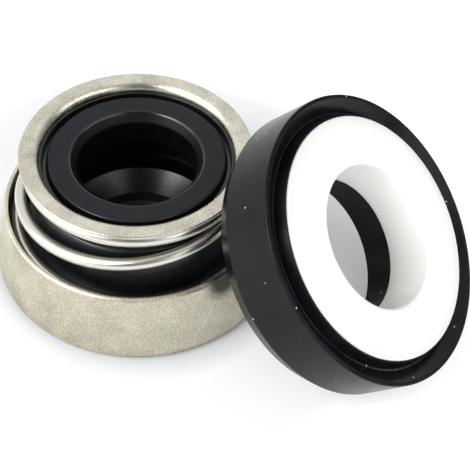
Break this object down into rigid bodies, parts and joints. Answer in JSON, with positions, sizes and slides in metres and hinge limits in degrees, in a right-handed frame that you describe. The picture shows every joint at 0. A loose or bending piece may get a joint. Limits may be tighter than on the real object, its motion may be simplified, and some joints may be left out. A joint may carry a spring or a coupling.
{
  "type": "component mechanical seal",
  "caption": "Rubber bellows shaft seal head with a steel shell and coil spring, with a ceramic seat in a rubber cup leaning on it.",
  "frame": {"origin": "centre of the head's sealing face, on the axis of the head", "axes": "+Z along the head's axis from the sealing face to the neck; +X level, towards the side where the seat leans; +Y level, away from the picture's viewpoint"},
  "size_m": [0.0478, 0.0362, 0.0227],
  "materials": {
    "shell_steel": "fine matt drawn sheet",
    "collar_steel": "satin pressed sheet",
    "spring_steel": "bright drawn wire",
    "bellows_rubber": "glossy moulded",
    "seat_rubber": "satin moulded",
    "carbon": "lapped carbon graphite",
    "seat_ceramic": "lapped alumina"
  },
  "bodies": {
    "head_and_seat": {"retainer_shell": "shell_steel", "face_ring": "carbon", "bellows": "bellows_rubber", "spring": "spring_steel", "seat_cup": "seat_rubber", "seat_ring": "seat_ceramic"},
    "collar": {"drive_ring": "collar_steel"}
  },
  "joints": [
    {"name": "spring_compression", "type": "slide", "parent": "head_and_seat", "child": "collar", "axis": [0, 0, -1], "range_m": [0, 0.003], "stiffness_N_per_m": 2000, "deforming": ["spring", "bellows"]}
  ]
}
